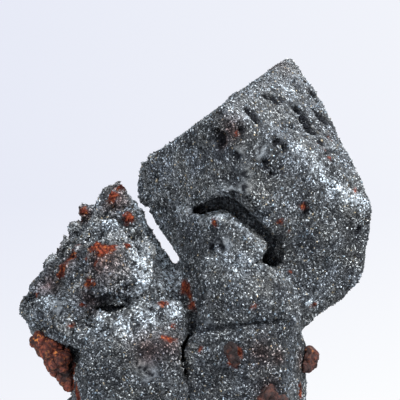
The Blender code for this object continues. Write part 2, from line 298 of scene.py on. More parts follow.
LIGHT_TARGET = (0.0, 0.0, 0.03)
LIGHTS = {
    "key": Light((0.16, -0.14, 0.24), 0.09, 1.8, (1.0, 0.99, 0.97)),
    "fill": Light((-0.16, -0.26, 0.18), 0.16, 1.0, (0.93, 0.96, 1.0)),
    "back": Light((0.12, 0.22, 0.22), 0.14, 0.9, (0.96, 0.98, 1.0)),
}

# Spots by photo pixel: column, row, radius.
RUST_SPOTS = {
    "left peak": [(120, 190, 5), (113, 197, 7), (129, 218, 5), (84, 212, 4), (79, 222, 3)],
    "left brow": [
        (103, 249, 7), (105, 257, 7), (96, 253, 5), (87, 258, 4), (80, 249, 6), (75, 257, 6), (126, 248, 4),
        (97, 266, 3), (63, 272, 8), (67, 267, 6), (90, 282, 5), (96, 283, 3), (37, 295, 4), (84, 303, 4),
        (62, 263, 3), (112, 251, 5), (91, 250, 3), (70, 261, 4),
    ],
    "left ledge": [(163, 303, 5), (73, 325, 3), (175, 326, 3), (171, 341, 5), (165, 338, 4)],
    "stack seam": [(184, 284, 6), (187, 290, 7), (190, 297, 6), (192, 304, 5), (184, 290, 5)],
    "large crystal": [
        (238, 134, 4), (281, 221, 3), (330, 139, 2), (329, 160, 2), (325, 151, 2), (355, 192, 3),
        (318, 144, 2), (304, 208, 4), (288, 231, 2), (290, 271, 2), (215, 223, 4), (314, 304, 3),
    ],
    "lower right": [
        (233, 352, 8), (232, 363, 5), (268, 394, 8), (300, 388, 6), (309, 356, 5), (300, 395, 5),
        (201, 351, 3), (254, 308, 3),
    ],
    "left recess": [(74, 382, 6), (77, 390, 8), (79, 398, 8), (74, 374, 5)],
}
ORANGE_SPOTS = [(48, 342, 4), (38, 339, 3), (57, 356, 3), (233, 350, 2), (309, 352, 2)]
STAINS = [
    (230, 130, 13), (220, 140, 10), (261, 353, 14), (278, 357, 9), (104, 262, 20), (70, 262, 14),
    (115, 200, 16), (119, 188, 9), (85, 215, 9), (50, 285, 14), (168, 345, 16), (150, 350, 18),
    (268, 388, 12), (300, 360, 10), (90, 300, 12),
]
SMOOTH_SPOTS = [
    (246, 172, 9), (246, 186, 9), (240, 153, 8), (261, 153, 9), (232, 189, 7), (226, 241, 9), (58, 303, 8),
    (60, 312, 7), (155, 252, 5), (142, 366, 12), (150, 374, 10), (207, 323, 6), (205, 219, 6),
    (192, 211, 5), (216, 214, 5), (243, 226, 5), (255, 237, 5),
]
# Painted highlights and reflections on the lit ridge, faces and ledges; a few spots are the skin's own pale
# patches.
HIGHLIGHT_AND_PALE_SPOTS = [
    (365, 204, 7), (345, 193, 8), (333, 188, 9), (318, 168, 8), (300, 150, 8), (236, 118, 6), (246, 117, 6),
    (288, 90, 6), (133, 205, 8), (142, 222, 11), (148, 238, 13), (160, 255, 14), (170, 280, 13),
    (140, 262, 12), (143, 284, 9), (165, 262, 8), (174, 274, 8), (160, 284, 9), (168, 298, 9),
    (178, 288, 6), (150, 316, 11), (122, 324, 7), (176, 310, 9), (100, 320, 7), (309, 302, 5), (45, 288, 8),
    (52, 300, 8), (110, 224, 8),
]
COARSE_SPOTS = [
    (285, 115, 34), (262, 100, 18), (318, 140, 24), (346, 178, 16), (295, 85, 16), (240, 118, 12),
]
PITS = [
    (266, 96, 4), (274, 100, 5), (281, 99, 3), (250, 112, 4), (254, 116, 4), (297, 110, 4), (303, 118, 5),
    (307, 125, 4), (311, 131, 4), (320, 117, 5), (324, 121, 4), (313, 94, 4), (316, 100, 3), (278, 141, 4),
    (285, 147, 4), (292, 127, 3), (267, 163, 4), (321, 143, 4), (217, 138, 5), (235, 155, 3), (243, 131, 3),
    (214, 131, 3), (358, 230, 3), (305, 207, 3), (306, 213, 3), (187, 270, 4), (211, 246, 3), (222, 248, 3),
    (272, 174, 3), (256, 120, 3),
]

# The kinds of skin: their spots in the photograph, and the loose ones on the hidden sides.
SKIN_KINDS = {
    "rust": ([spot for spots in RUST_SPOTS.values() for spot in spots], Hidden(60, 0.25, 0.9)),
    "stain": (STAINS, Hidden(14, 1.0, 2.2)),
    "smooth": (SMOOTH_SPOTS, Hidden(14, 0.7, 1.6)),
    "frost": (HIGHLIGHT_AND_PALE_SPOTS, Hidden(26, 0.8, 1.8)),
    "coarse": (COARSE_SPOTS, Hidden(14, 2.0, 5.0)),
    "pits": (PITS, Hidden(60, 0.35, 0.6)),
}

# Winding features, whose points are photo pixels. Their tone factors paint shade in the crevices, gaps,
# grooves, the hollow's elbow and foot and under the brow, and light on the lit band, ridges, edges, streaks,
# slopes and the hollow's inside; some also add painted highlights.
PATHS = [
    Path("crevice between the stacks", radius=2.2, tone=0.1, height=-0.7, points=[
        (194, 310), (193, 322), (193, 333), (187, 340), (181, 345), (183, 356), (186, 368), (188, 380),
        (190, 400),
    ]),
    Path("crevice behind the seam crust", radius=3.8, tone=0.15, height=-0.4, points=[
        (196, 278), (199, 288), (201, 300), (197, 311),
    ]),
    Path("lit band on the block", radius=3.8, tone=3.0, height=0.4, frost=0.5, points=[
        (179, 210), (188, 213), (197, 217), (206, 221), (216, 220), (226, 217), (236, 223), (246, 232),
        (256, 241), (264, 249),
    ]),
    Path("front of the block", radius=5.0, tone=0.7, height=-0.15, points=[
        (206, 232), (218, 230), (232, 236), (246, 246), (254, 255),
    ]),
    Path("side of the block", radius=5.0, tone=0.7, points=[(200, 226), (203, 240), (208, 252)]),
    Path("under the brow", radius=8.0, tone=0.4, height=-0.2, points=[
        (86, 296), (98, 297), (110, 298), (122, 298), (132, 298),
    ]),
    Path("bright streak", radius=6.0, tone=2.4, height=0.15, frost=1.0, points=[
        (322, 180), (332, 187), (345, 193), (357, 200), (368, 206),
    ]),
    Path("upper streak", radius=4.0, tone=1.5, height=0.1, frost=0.4, points=[
        (306, 156), (316, 166), (324, 178),
    ]),
    Path("hairlines by the hollow", radius=1.3, tone=2.6, height=0.05, points=[(178, 200), (200, 202)]),
    Path("gap in the brow", radius=3.0, tone=0.45, height=-0.4, points=[
        (128, 232), (132, 250), (126, 266), (136, 284),
    ]),
    Path("gap beside the brow", radius=3.0, tone=0.5, height=-0.4, points=[
        (70, 284), (84, 272), (92, 268), (100, 270),
    ]),
    Path("rim over the hollow", radius=3.0, tone=1.8, height=0.05, frost=0.1, points=[
        (203, 198), (212, 191), (224, 188), (236, 188), (246, 193), (256, 205), (266, 218), (278, 230),
    ]),
    Path("elbow of the hollow", radius=4.2, tone=0.1, height=-2.0, points=[
        (214, 198), (226, 196), (238, 197), (244, 200), (252, 208), (262, 219),
    ]),
    Path("corner of the elbow", radius=2.8, tone=0.3, height=-1.0, points=[
        (232, 196), (241, 197), (247, 203),
    ]),
    Path("inside of the hollow", radius=4.5, tone=6.0, points=[
        (206, 205), (216, 201), (228, 202), (240, 208), (252, 219),
    ]),
    Path("edge of the block", radius=3.0, tone=1.5, height=0.1, frost=0.3, points=[
        (266, 246), (260, 254), (254, 261),
    ]),
    Path("foot of the hollow", radius=3.2, tone=0.15, height=-1.0, points=[
        (266, 255), (261, 260), (256, 264),
    ]),
    Path("slope at the hollow's foot", radius=4.0, tone=4.0, height=0.8, points=[
        (280, 250), (277, 257), (272, 263),
    ]),
    Path("front ridge", radius=7.0, tone=1.25, height=0.1, points=[
        (232, 114), (246, 126), (262, 140), (280, 153), (300, 166), (320, 179), (340, 192), (358, 203),
    ]),
    Path("ledge of the left block", radius=4.0, tone=1.25, height=0.15, frost=0.25, points=[
        (84, 334), (104, 330), (126, 336), (150, 338), (176, 344),
    ]),
    Path("edge of the neck", radius=6.0, tone=1.4, height=0.35, frost=0.2, points=[
        (203, 262), (222, 257), (246, 262), (268, 268), (288, 284), (300, 298),
    ]),
    Path("foot of the neck", radius=3.5, tone=0.25, height=-0.7, points=[
        (200, 331), (216, 328), (236, 327), (256, 324), (280, 322),
    ]),
    Path("left edge of the left block", radius=3.5, tone=1.25, height=0.2, points=[
        (82, 352), (85, 365), (88, 380), (90, 398),
    ]),
]
# Lighter and darker stretches of skin by photo pixel: column, row, radius, factor. Most are painted light
# and shade: lighter on faces and flanks that face away from the lamps or lie in shadow, darker under the brow,
# beside the hollow and on the lower blocks; a few are the skin's own lighter patches.
PAINTED_SHADING_AND_PATCHES = [
    (285, 120, 42, 1.18), (152, 262, 26, 2.6), (140, 222, 12, 1.6), (168, 275, 15, 2.6),
    (288, 255, 10, 0.7), (118, 196, 9, 0.8), (248, 172, 14, 0.85), (288, 78, 12, 0.85),
    (305, 118, 20, 0.85), (352, 196, 12, 1.5), (142, 250, 14, 1.6), (172, 288, 10, 1.5),
    (178, 188, 34, 2.7), (220, 136, 14, 2.2), (212, 372, 36, 0.6), (215, 312, 20, 0.8),
    (108, 380, 36, 0.68), (146, 369, 14, 1.15), (150, 326, 22, 0.75), (130, 322, 16, 0.65),
    (292, 370, 8, 1.4), (60, 300, 22, 1.1), (58, 304, 9, 1.5), (309, 302, 6, 1.8), (110, 306, 16, 0.45),
    (92, 288, 12, 0.7), (235, 265, 30, 1.15), (340, 185, 26, 1.15), (318, 100, 12, 1.35),
    (270, 85, 10, 1.2), (160, 170, 14, 1.3), (180, 235, 12, 0.8), (330, 235, 22, 1.1), (240, 272, 26, 1.75),
    (343, 190, 12, 2.0), (352, 198, 9, 1.4), (315, 160, 12, 1.2),
]
# Lumps and hollows by photo pixel: column, row, radius, height in mm.
SWELLS = [
    (104, 254, 13, 0.75), (126, 199, 5, -0.35), (134, 213, 5, -0.3), (143, 190, 6, -0.4),
    (147, 206, 6, -0.35), (126, 247, 6, 0.35), (78, 254, 9, 0.5), (64, 270, 8, 0.4), (96, 292, 11, 0.8),
    (116, 276, 12, 0.5), (75, 290, 8, 0.35), (146, 281, 9, 0.35), (128, 218, 5, 0.1), (85, 212, 5, 0.05),
    (112, 231, 9, 0.35), (140, 300, 8, 0.3), (110, 308, 14, -0.7), (132, 263, 6, -0.35),
    (160, 270, 8, -0.35), (84, 270, 6, -0.4), (52, 296, 8, -0.25), (133, 238, 6, -0.3), (150, 322, 9, 0.25),
    (100, 330, 9, 0.25), (128, 332, 7, -0.3), (84, 318, 8, -0.25), (222, 138, 13, -0.7),
    (236, 128, 6, -0.5), (205, 152, 12, -0.35), (250, 140, 10, 0.3), (270, 128, 9, -0.25),
    (290, 132, 9, -0.3), (304, 120, 7, -0.35), (330, 165, 16, 0.25), (165, 180, 12, 0.25),
    (185, 160, 10, -0.2), (300, 250, 12, -0.25), (335, 240, 14, 0.3), (235, 265, 12, 0.25),
    (262, 280, 8, -0.2), (215, 345, 9, -0.25), (250, 340, 10, 0.2), (110, 370, 12, 0.2),
    (150, 345, 10, -0.2),
]
HIDDEN_SWELLS = Hidden(70, 0.8, 2.0)
HIDDEN_SWELL_HEIGHT = 0.5  # the most that a hidden swell rises or falls, in mm


def scrambled(cells, number):
    """A number from 0 to 1 for each whole-number cell.

    The cell's three indices are multiplied by large odd numbers, combined bit by bit, and stirred by shifts.
    """
    whole = cells.astype(np.int64).astype(np.uint32)
    mixed = np.zeros(whole.shape[:-1], np.uint32)
    for axis, factor in enumerate(AXIS_FACTORS):
        mixed ^= whole[..., axis] * np.uint32(factor)
    mixed += np.uint32(number * NUMBER_STEP)
    for shift, factor in STIRS:
        mixed ^= mixed >> np.uint32(shift)
        mixed *= np.uint32(factor)
    return mixed / WHOLE_RANGE


def waves(places, pattern):
    """Smooth noise from -1 to 1: a cell's corners' scrambled numbers, blended by 3t^2 - 2t^3 on each axis."""
    scaled = places / pattern.size
    corner = np.floor(scaled)
    t = scaled - corner
    t = t * t * (3.0 - 2.0 * t)
    total = np.zeros(len(places))
    for step in np.ndindex(2, 2, 2):
        weight = np.ones(len(places))
        for axis in range(3):
            weight = weight * (t[:, axis] if step[axis] else 1 - t[:, axis])
        total += weight * scrambled(corner + step, pattern.number)
    return total * 2.0 - 1.0


def nearest_points(places, pattern):
    """The distance, in cells, to the nearest of the points that are scattered one to a cell."""
    scaled = places / pattern.size
    corner = np.floor(scaled)
    nearest = np.full(len(places), math.inf)
    for step in np.ndindex(3, 3, 3):
        cell = corner + step - 1.0
        point = cell + np.stack([scrambled(cell, pattern.number + axis) for axis in range(3)], axis=1)
        nearest = np.minimum(nearest, np.linalg.norm(scaled - point, axis=1))
    return nearest


def domes(places, pattern):
    """Round lumps side by side, 0 between them and 1 on top: half circles over the nearest-point distance."""
    nearest = nearest_points(places, pattern)
    return np.sqrt(np.clip(1.0 - (nearest / DOME_REACH) ** 2, 0.0, 1.0))


def raised_domes(places, pattern):
    """The height in mm of round lumps, counted from partly up each lump."""
    return pattern.height * (domes(places, pattern) - DOME_LEVEL)


def worms(places, pattern):
    """Winding bright lines from 0 to 1, where smooth noise passes through zero."""
    return np.clip(1.0 - WORM_SHARPNESS * np.abs(waves(places, pattern)), 0.0, 1.0)


def winding_lines(places, patterns):
    """The brighter of two sizes of winding lines, the second a little weaker."""
    first, second = patterns
    return np.maximum(worms(places, first), SECOND_LINES * worms(places, second))


def along(ramp, values):
    """The ramp's start + slope * value, held between its limits."""
    return np.clip(ramp.start + ramp.slope * values, ramp.low, ramp.high)


def falloffs(places, seeds):
    """For each seed in turn, how close every place is to it: exp(-(distance / radius)^2)."""
    for centre, radius in seeds:
        yield np.exp(-np.sum((places - centre) ** 2, axis=1) / radius**2)


def near(places, seeds):
    """How close each place is to the closest of the seeds: the highest of their falloffs."""
    mask = np.zeros(len(places))
    for falloff in falloffs(places, seeds):
        mask = np.maximum(mask, falloff)
    return mask


def swell_of(places, seeds, heights):
    """The sum of the lumps and hollows in mm: each one's height times its falloff."""
    total = np.zeros(len(places))
    for falloff, height in zip(falloffs(places, seeds), heights):
        total += height * falloff
    return total


def shade_of(places, seeds, factors):
    """The product of the stretches of painted light and shade and lighter patches: 1 + (factor - 1) times each
    one's falloff.
    """
    shade = np.ones(len(places))
    for falloff, factor in zip(falloffs(places, seeds), factors):
        shade *= 1.0 + (factor - 1.0) * falloff
    return shade


def read_mesh(mesh):
    """Vertex places in mm, vertex normals and four-sided faces, as arrays."""
    places = np.empty(len(mesh.vertices) * 3, np.float32)
    mesh.vertices.foreach_get("co", places)
    normals = np.empty(len(mesh.vertices) * 3, np.float32)
    mesh.vertices.foreach_get("normal", normals)
    faces = np.empty(len(mesh.polygons) * 4, np.int32)
    mesh.polygons.foreach_get("vertices", faces)
    return places.reshape(-1, 3) / MM, normals.reshape(-1, 3), faces.reshape(-1, 4)


def show(name, data):
    """A new object in the scene that holds a mesh, light or camera."""
    holder = bpy.data.objects.new(name, data)
    bpy.context.scene.collection.objects.link(holder)
    return holder


def new_piece(name, places, faces, finish, attributes):
    """A piece at the origin from places in mm and faces, with one number per vertex for each attribute."""
    mesh = bpy.data.meshes.new(name)
    sides = faces.shape[1]
    mesh.vertices.add(len(places))
    mesh.vertices.foreach_set("co", (places * MM).astype(np.float32).ravel())
    mesh.loops.add(faces.size)
    mesh.loops.foreach_set("vertex_index", faces.astype(np.int32).ravel())
    mesh.polygons.add(len(faces))
    mesh.polygons.foreach_set("loop_start", np.arange(0, faces.size, sides, dtype=np.int32))
    mesh.update(calc_edges=True)
    for label, values in attributes.items():
        layer = mesh.attributes.new(label, "FLOAT", "POINT")
        layer.data.foreach_set("value", values.astype(np.float32))
    mesh.materials.append(finish)
    return show(name, mesh)


def even_skin(node, cell, wear):
    """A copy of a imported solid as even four-sided cells, with its edges worn by smoothing passes."""
    solid = bmesh.new()
    solid.from_mesh(node.data)
    bmesh.ops.remove_doubles(solid, verts=solid.verts, dist=MERGE_WITHIN * MM)
    mesh = bpy.data.meshes.new("even_skin")
    solid.to_mesh(mesh)
    solid.free()
    rough = show("even_skin", mesh)
    remesh = rough.modifiers.new("even", "REMESH")
    remesh.mode = "VOXEL"
    remesh.voxel_size = cell * MM
    smooth = rough.modifiers.new("wear", "SMOOTH")
    smooth.factor = WEAR_SHARE
    smooth.iterations = wear
    bpy.context.view_layer.update()
    evaluated = rough.evaluated_get(bpy.context.evaluated_depsgraph_get())
    even = bpy.data.meshes.new_from_object(evaluated)
    bpy.data.objects.remove(rough)
    return even


def surface_tree(places, faces):
    """The surface in metres, ready for rays to be cast on to it."""
    return BVHTree.FromPolygons((places.astype(float) * MM).tolist(), faces.tolist())


def spots_along(points, radius):
    """Spots of one radius, in photo pixels, about every half radius along the lines between the points."""
    spots = []
    for start, end in zip(points, points[1:]):
        steps = max(1, round(math.dist(start, end) * 2.0 / radius))
        for step in range(steps):
            t = step / steps
            spots.append((start[0] + (end[0] - start[0]) * t, start[1] + (end[1] - start[1]) * t, radius))
    return spots


def cast_spots(tree, spots):
    """The places and radii in mm of spots given by photo pixel, where the camera's ray meets the surface."""
    tangent = SENSOR_WIDTH / LENS / 2.0
    seeds = []
    for column, row, radius in spots:
        right = (column / PHOTO_PIXELS * 2.0 - 1.0) * tangent
        up = (1.0 - row / PHOTO_PIXELS * 2.0) * tangent
        ray = Vector((right, 1.0, up))
        hit, _, _, distance = tree.ray_cast(CAMERA_PLACE, ray)
        if hit is not None:
            pixel = distance / ray.length * 2.0 * tangent / PHOTO_PIXELS
            seeds.append((np.array(hit) / MM, radius * pixel / MM))
    return seeds


def hidden_seeds(places, normals, rng, hidden):
    """Seeds at random places on the sides that face away from the photograph, or below its lower edge."""
    unseen = np.flatnonzero((normals[:, 1] > 0.0) | (places[:, 2] < PHOTO_FOOT))
    chosen = rng.choice(unseen, hidden.count, replace=False)
    radii = rng.uniform(hidden.least, hidden.most, hidden.count)
    return [(places[index], radius) for index, radius in zip(chosen, radii)]


def feed(tree, node, inputs):
    """Gives each named or numbered input of a node its value, or a link from another node's output."""
    for label, source in inputs.items():
        if isinstance(source, bpy.types.NodeSocket):
            tree.links.new(source, node.inputs[label])
        else:
            node.inputs[label].default_value = source


def add_node(tree, kind, inputs=(), **settings):
    """A node with its settings, and its inputs fed."""
    node = tree.nodes.new(kind)
    for label, value in settings.items():
        setattr(node, label, value)
    feed(tree, node, dict(inputs))
    return node


def calculated(tree, operation, *sources, **settings):
    """The result of an operation, such as ADD or MULTIPLY, on one or two numbers."""
    node = add_node(tree, "ShaderNodeMath", enumerate(sources), operation=operation, **settings)
    return node.outputs[0]


def ranged(tree, value, before=(0.0, 1.0), after=(0.0, 1.0), **settings):
    """A number carried from one range to another, and held inside it."""
    inputs = {"Value": value, "From Min": before[0], "From Max": before[1]}
    inputs |= {"To Min": after[0], "To Max": after[1]}
    return add_node(tree, "ShaderNodeMapRange", inputs, **settings).outputs["Result"]


def mixed_colour(tree, share, first, second, blend="MIX"):
    """The first colour turned towards the second, or blended with it, by a share."""
    inputs = {"Factor": share, "A": first, "B": second}
    return add_node(tree, "ShaderNodeMix", inputs, data_type="RGBA", blend_type=blend).outputs["Result"]


def scaled_colour(tree, colour, scale):
    """A colour multiplied by a number."""
    inputs = {0: colour, "Scale": scale}
    return add_node(tree, "ShaderNodeVectorMath", inputs, operation="SCALE").outputs["Vector"]


def colour_by(tree, value, stops, interpolation="LINEAR"):
    """The colour that a number picks from stops, each a position and a colour."""
    node = add_node(tree, "ShaderNodeValToRGB", {"Fac": value})
    node.color_ramp.interpolation = interpolation
    elements = node.color_ramp.elements
    for index, (position, colour) in enumerate(stops):
        element = elements[index] if index < len(elements) else elements.new(position)
        element.position = position
        element.color = colour
    return node.outputs["Color"]


def noise(tree, place, scale, **shape):
    """The value of a noise texture, with its further inputs by their names in small letters."""
    inputs = {"Vector": place, "Scale": scale} | {label.capitalize(): value for label, value in shape.items()}
    return add_node(tree, "ShaderNodeTexNoise", inputs).outputs["Fac"]


def own_place(tree):
    """A piece's own coordinates in metres, which don't move with the camera."""
    return add_node(tree, "ShaderNodeTexCoord").outputs["Object"]


def own_number(tree, label):
    """A number that the mesh holds for each vertex."""
    return add_node(tree, "ShaderNodeAttribute", attribute_name=label).outputs["Fac"]


def group_with(name, inputs, outputs):
    """An empty shader node group with these sockets, and its input and output nodes."""
    group = bpy.data.node_groups.new(name, "ShaderNodeTree")
    for label, kind, default in inputs:
        socket = group.interface.new_socket(label, in_out="INPUT", socket_type=kind)
        if default is not None:
            socket.default_value = default
    for label, kind in outputs:
        group.interface.new_socket(label, in_out="OUTPUT", socket_type=kind)
    return group, group.nodes.new("NodeGroupInput"), group.nodes.new("NodeGroupOutput")


def grit_group():
    """Fine grit on Object coordinates: masks of flecks and winding lines, and a normal of tiny facets.

    The lines run where a noise passes through its middle value.
    """
    inputs = [("Size", "NodeSocketFloat", None), ("Strength", "NodeSocketFloat", None)]
    outputs = [("Flecks", "NodeSocketFloat"), ("Lines", "NodeSocketFloat"), ("Normal", "NodeSocketVector")]
    group, given, made = group_with("fine_grit", inputs, outputs)
    place = own_place(group)
    cells = calculated(group, "DIVIDE", 1.0 / MM, given.outputs["Size"])
    facets = add_node(group, "ShaderNodeTexVoronoi", {"Vector": place, "Scale": cells}, feature="F1")
    flecks = noise(group, place, cells, detail=3.0, roughness=0.65)
    wider = calculated(group, "MULTIPLY", cells, LINE_CELLS)
    winding = noise(group, place, wider, detail=1.0, roughness=0.4, distortion=0.3)
    off = calculated(group, "ABSOLUTE", calculated(group, "SUBTRACT", winding, 0.5))
    lines = ranged(group, off, (0.0, LINE_WIDTH), (1.0, 0.0))
    uneven = calculated(group, "ADD", facets.outputs["Distance"], flecks)
    height = calculated(group, "ADD", uneven, lines)
    bump_inputs = {"Height": height, "Strength": given.outputs["Strength"], "Distance": BUMP_REACH}
    bump = add_node(group, "ShaderNodeBump", bump_inputs)
    feed(group, made, {"Flecks": flecks, "Lines": lines, "Normal": bump.outputs["Normal"]})
    return group


def rust_group():
    """Rust laid over a colour by an amount: dark maroon to brick by broad noise, with orange flecks."""
    inputs = [
        ("Colour", "NodeSocketColor", None),
        ("Amount", "NodeSocketFloat", 1.0),
        ("Orange", "NodeSocketFloat", None),
    ]
    group, given, made = group_with("rust_colour", inputs, [("Colour", "NodeSocketColor")])
    place = own_place(group)
    broad = noise(group, place, RUST_MOTTLE, detail=4.0, roughness=0.6)
    fine = noise(group, place, RUST_FLECKS, detail=2.0)
    brick = colour_by(group, broad, RUST_SHADES)
    grainy = scaled_colour(group, brick, ranged(group, fine, RUST_GAP_RANGE, RUST_GAP_SCALE))
    orange_share = calculated(group, "MULTIPLY", ranged(group, fine, ORANGE_RANGE), given.outputs["Orange"])
    flecked = mixed_colour(group, orange_share, grainy, RUST_ORANGE)
    laid = mixed_colour(group, given.outputs["Amount"], given.outputs["Colour"], flecked)
    feed(group, made, {"Colour": laid})
    return group


def new_finish(name):
    """A material, its node tree and its Principled shader."""
    finish = bpy.data.materials.new(name)
    finish.use_nodes = True
    return finish, finish.node_tree, finish.node_tree.nodes["Principled BSDF"]


def hematite_finish(name, grit, rust, steel):
    """Steel-grey hematite, whose colour and gloss follow the mesh's own numbers.

    Tone, which holds painted light and shade, picks a steel between dark and light. Flecks and fine winding
    lines, which paint highlight streaks, scale it, less so where even is high. Some kinds of grain are tinted,
    and broad patches are cooler or warmer. Painted highlights and pale patches, stain and rust are laid over it
    in turn.
    """
    finish, tree, shader = new_finish(name)
    tone, frost, stain, red, kind, even = (
        own_number(tree, label) for label in ("tone", "frost", "stain", "rust", "kind", "even")
    )
    grit_inputs = {"Size": STEEL_GRIT, "Strength": steel.bump}
    fine = add_node(tree, "ShaderNodeGroup", grit_inputs, node_tree=grit).outputs
    speckle = ranged(tree, fine["Flecks"], FLECK_RANGE, STEEL_SPECKLE)
    lined = ranged(tree, fine["Lines"], after=STEEL_LINED)
    calm_inputs = {"Factor": even, "A": calculated(tree, "MULTIPLY", speckle, lined), "B": CALM_SCALE}
    calm = add_node(tree, "ShaderNodeMix", calm_inputs, data_type="FLOAT").outputs["Result"]
    colour = scaled_colour(tree, mixed_colour(tree, tone, steel.dark, steel.light), calm)
    colour = mixed_colour(tree, 1.0, colour, colour_by(tree, kind, GRAIN_TINTS, "CONSTANT"), "MULTIPLY")
    patches = noise(tree, own_place(tree), CAST_SCALE, detail=3.0, roughness=0.6)
    colour = mixed_colour(tree, 1.0, colour, colour_by(tree, patches, CASTS), "MULTIPLY")
    veins = ranged(tree, fine["Lines"], after=HIGHLIGHT_ALONG_LINES)
    highlighted = calculated(tree, "MULTIPLY", frost, veins, use_clamp=True)
    colour = mixed_colour(tree, highlighted, colour, HIGHLIGHT_AND_PALE_COLOUR)
    colour = mixed_colour(tree, stain, colour, STAIN_COLOUR, "MULTIPLY")
    rust_inputs = {"Colour": colour, "Amount": red, "Orange": ORANGE_ON_STEEL}
    rusty = add_node(tree, "ShaderNodeGroup", rust_inputs, node_tree=rust)
    gloss = ranged(tree, fine["Flecks"], after=[steel.roughness + change for change in GLOSS_RANGE])
    metal = ranged(tree, tone, (0.0, METAL_FULL_FROM), (METAL_LEAST * steel.metallic, steel.metallic))
    bare = ranged(tree, red, after=(1.0, 0.0))
    shader_inputs = {
        "Base Color": rusty.outputs["Colour"],
        "Roughness": calculated(tree, "MAXIMUM", gloss, red),
        "Metallic": calculated(tree, "MULTIPLY", metal, bare),
        "Specular IOR Level": steel.specular,
        "Specular Tint": STEEL_GLINT,
        "Normal": fine["Normal"],
    }
    feed(tree, shader, shader_inputs)
    return finish


def crust_finish(grit, rust):
    """Dull red-brown iron oxide, darker where the mesh's own number deep is high."""
    finish, tree, shader = new_finish("rust_crust")
    grit_inputs = {"Size": CRUST_GRIT, "Strength": CRUST_BUMP}
    fine = add_node(tree, "ShaderNodeGroup", grit_inputs, node_tree=grit).outputs
    orange = ranged(tree, own_number(tree, "orange"), after=ORANGE_ON_CRUST)
    rusty = add_node(tree, "ShaderNodeGroup", {"Orange": orange}, node_tree=rust)
    shader_inputs = {
        "Base Color": mixed_colour(tree, own_number(tree, "deep"), rusty.outputs["Colour"], CRUST_DARK),
        "Roughness": ranged(tree, fine["Flecks"], after=CRUST_ROUGHNESS),
        "Specular IOR Level": CRUST_SPECULAR,
        "Normal": fine["Normal"],
    }
    feed(tree, shader, shader_inputs)
    return finish


def ragged_places(places):
    """The places shifted by waves along each axis, which makes the edges of spots ragged."""
    shifts = [waves(places, RAGGED._replace(number=RAGGED.number + axis)) for axis in range(3)]
    return places + RAGGED.height * np.stack(shifts, axis=1)


def skin_masks(places, normals, ragged, tree, rng):
    """How much of each kind of skin every place has, from 0 to 1: closeness to the kind's spots.

    The left crystal's mask grows to the left and upwards. The edges of rust and smooth skin are sharpened.
    """
    masks = {}
    for label, (spots, hidden) in SKIN_KINDS.items():
        seeds = cast_spots(tree, spots) + hidden_seeds(places, normals, rng, hidden)
        masks[label] = near(ragged, seeds)
    leftward = np.clip((LEFT_SIDE - places[:, 0]) / LEFT_BLEND, 0.0, 1.0)
    masks["left"] = leftward * np.clip((places[:, 2] - LEFT_FOOT) / LEFT_BLEND, 0.0, 1.0)
    masks["smooth"] = along(SMOOTH_EDGE, masks["smooth"])
    masks["rust"] = along(RUST_EDGE, masks["rust"])
    return masks


def relief_of(places, masks):
    """Height in mm of the skin at each place.

    Broad and middle waves, round grains at two sizes, coarser lumps on the left crystal, ridges and small
    holes. All but the broad waves fade out on smooth skin, and are lower where the skin is neither left nor
    coarse. The pits are as deep everywhere.
    """
    left = masks["left"]
    coarse = np.maximum(left, masks["coarse"])
    rough = (ROUGH_LEAST + (1.0 - ROUGH_LEAST) * coarse) * (1.0 - SMOOTHING * masks["smooth"])
    height = BROAD_WAVES.height * waves(places, BROAD_WAVES)
    height += rough * MIDDLE_WAVES.height * waves(places, MIDDLE_WAVES)
    for grains in (MIDDLE_GRAINS, SMALL_GRAINS):
        height += rough * grains.height * (GRAIN_LEVEL - nearest_points(places, grains))
    height += rough * left * (raised_domes(places, LARGE_LUMPS) + raised_domes(places, SMALL_LUMPS))
    height += rough * (RIDGES.height + RIDGES_ON_LEFT * left) * worms(places, RIDGES)
    height -= rough * HOLES.height * np.clip(waves(places, HOLES) - HOLES_OVER, 0.0, 1.0)
    return height - PIT_DEPTH * masks["pits"]


